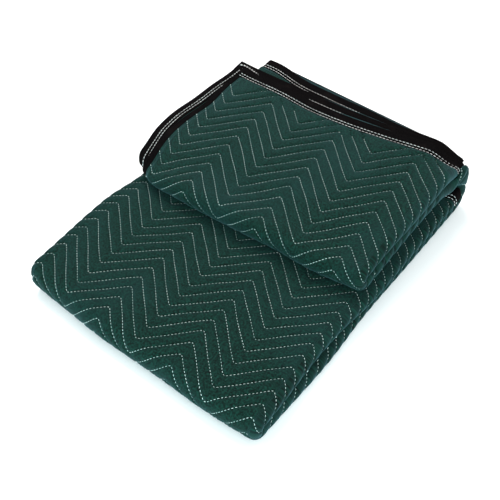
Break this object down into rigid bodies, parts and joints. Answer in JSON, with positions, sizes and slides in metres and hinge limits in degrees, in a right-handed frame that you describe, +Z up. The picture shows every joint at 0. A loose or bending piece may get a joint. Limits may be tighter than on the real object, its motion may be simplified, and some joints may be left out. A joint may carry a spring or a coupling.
{
  "type": "moving pad",
  "caption": "Folded moving pad in dark green zigzag-quilted cloth with black double-stitched binding, the top part folded back as a flap.",
  "frame": {"origin": "centre of the bounding box's footprint, on the surface that the pad lies on", "axes": "+Z up through the layers, +Y from the front folds to the pad's back, +X along the front folds to the right"},
  "size_m": [0.5098, 0.6547, 0.1138],
  "materials": {
    "green_cloth": "matt woven cotton and polyester",
    "binding_top": "matt woven tape",
    "binding_inner": "matt woven tape",
    "binding_flap": "matt woven tape",
    "binding_tucked": "matt woven tape"
  },
  "bodies": {
    "root": {"quilted_cloth": "green_cloth", "side_binding_top": "binding_top", "side_binding_inner": "binding_inner", "end_binding_flap": "binding_flap", "end_binding_tucked": "binding_tucked"}
  },
  "joints": []
}
